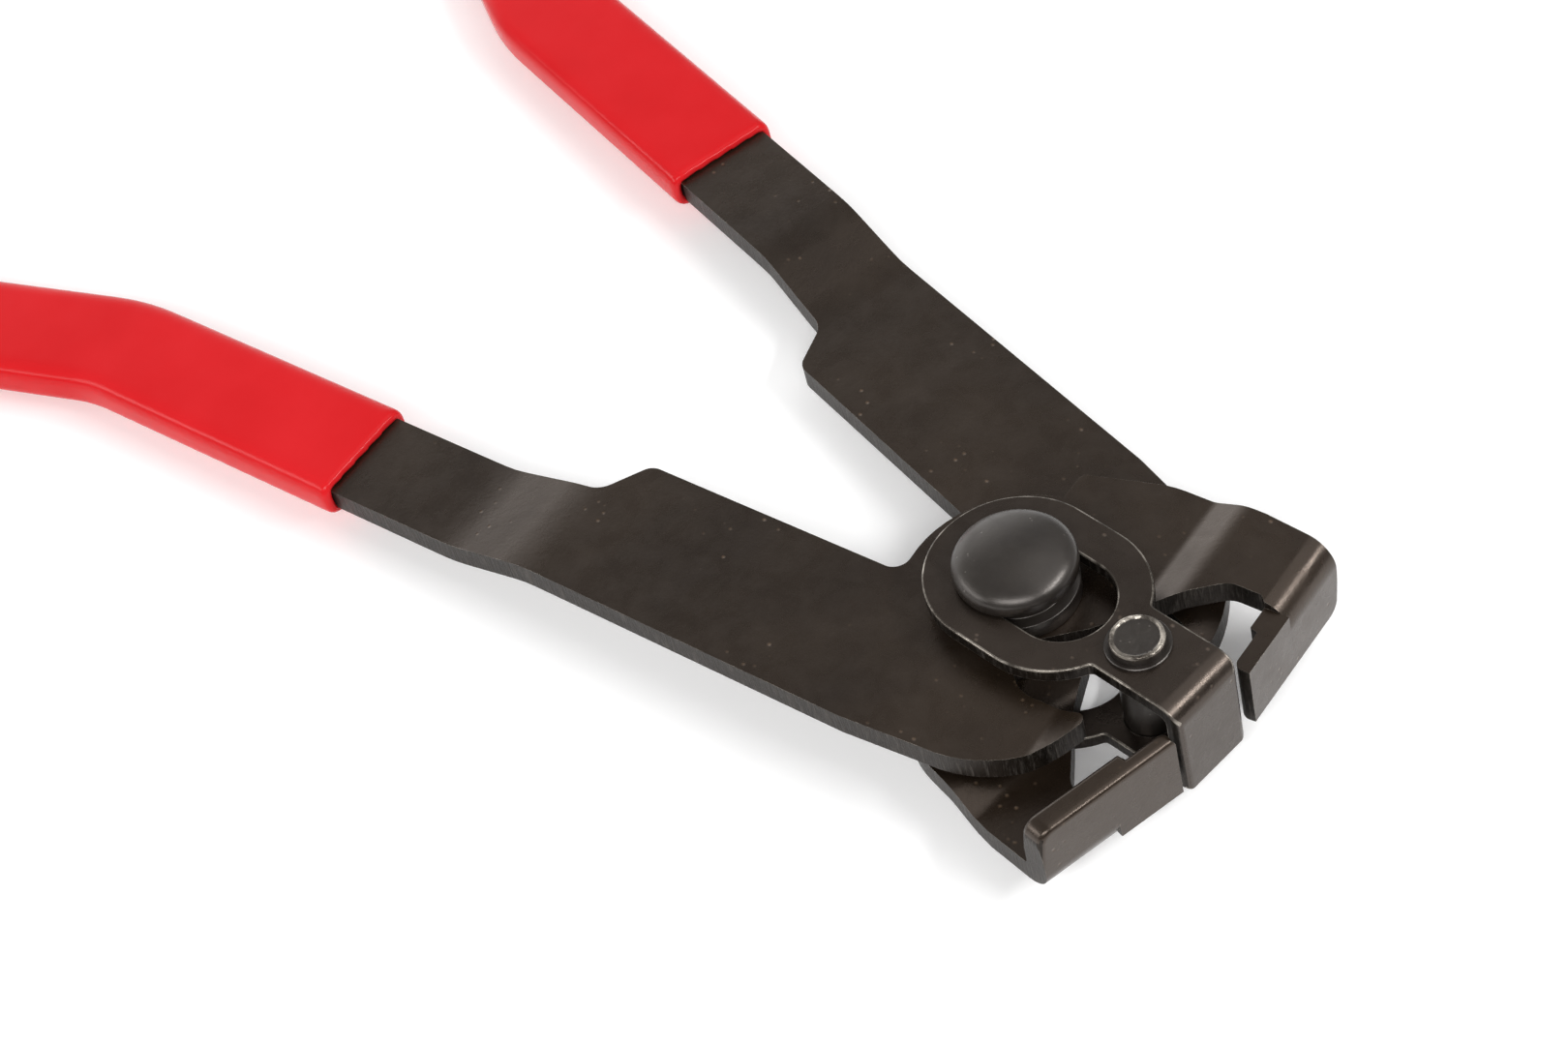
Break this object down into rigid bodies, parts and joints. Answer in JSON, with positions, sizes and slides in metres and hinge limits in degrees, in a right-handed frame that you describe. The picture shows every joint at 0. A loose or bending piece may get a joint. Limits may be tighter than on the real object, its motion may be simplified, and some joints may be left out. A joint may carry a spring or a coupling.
{
  "type": "ear clamp pliers",
  "caption": "Hand pliers with pivoting pressed-steel arms, folded-over jaws, a sliding presser plate and dipped vinyl grips, for crimping ear-type hose clamps.",
  "frame": {"origin": "on the pivot axis, halfway between the two arms", "axes": "+X from the pivot to the jaws, +Z along the rivet towards its domed head, arms fully open"},
  "size_m": [0.2274, 0.1336, 0.0196],
  "materials": {
    "arm_steel": "satin black-brown oxide",
    "presser_steel": "satin black oxide",
    "rivet_steel": "satin black oxide, worn on the rims",
    "washer_steel": "black oxide",
    "grip_vinyl": "glossy dipped vinyl"
  },
  "bodies": {
    "pivot": {"main_rivet": "rivet_steel", "pivot_washer": "washer_steel", "upper_bush": "washer_steel", "lower_bush": "washer_steel"},
    "upper_lever": {"upper_arm": "arm_steel", "upper_arm_grip": "grip_vinyl"},
    "lower_lever": {"lower_arm": "arm_steel", "lower_arm_grip": "grip_vinyl"},
    "presser": {"presser_plate": "presser_steel", "guide_plate": "presser_steel", "presser_pin": "rivet_steel"}
  },
  "joints": [
    {"name": "upper_lever_hinge", "type": "hinge", "parent": "pivot", "child": "upper_lever", "pos_m": [0, 0, 0.002], "axis": [0, 0, 1], "range_deg": [-9.6, 0]},
    {"name": "lower_lever_hinge", "type": "hinge", "parent": "pivot", "child": "lower_lever", "pos_m": [0, 0, -0.002], "axis": [0, 0, 1], "range_deg": [0, 9.6]},
    {"name": "presser_slide", "type": "slide", "parent": "pivot", "child": "presser", "axis": [1, 0, 0], "range_m": [-0.0033, 0]}
  ],
  "couplings": [
    {"joint": "lower_lever_hinge", "follows": "upper_lever_hinge", "ratio": -1},
    {"joint": "presser_slide", "follows": "upper_lever_hinge", "m_per_rad": 0.019695}
  ]
}
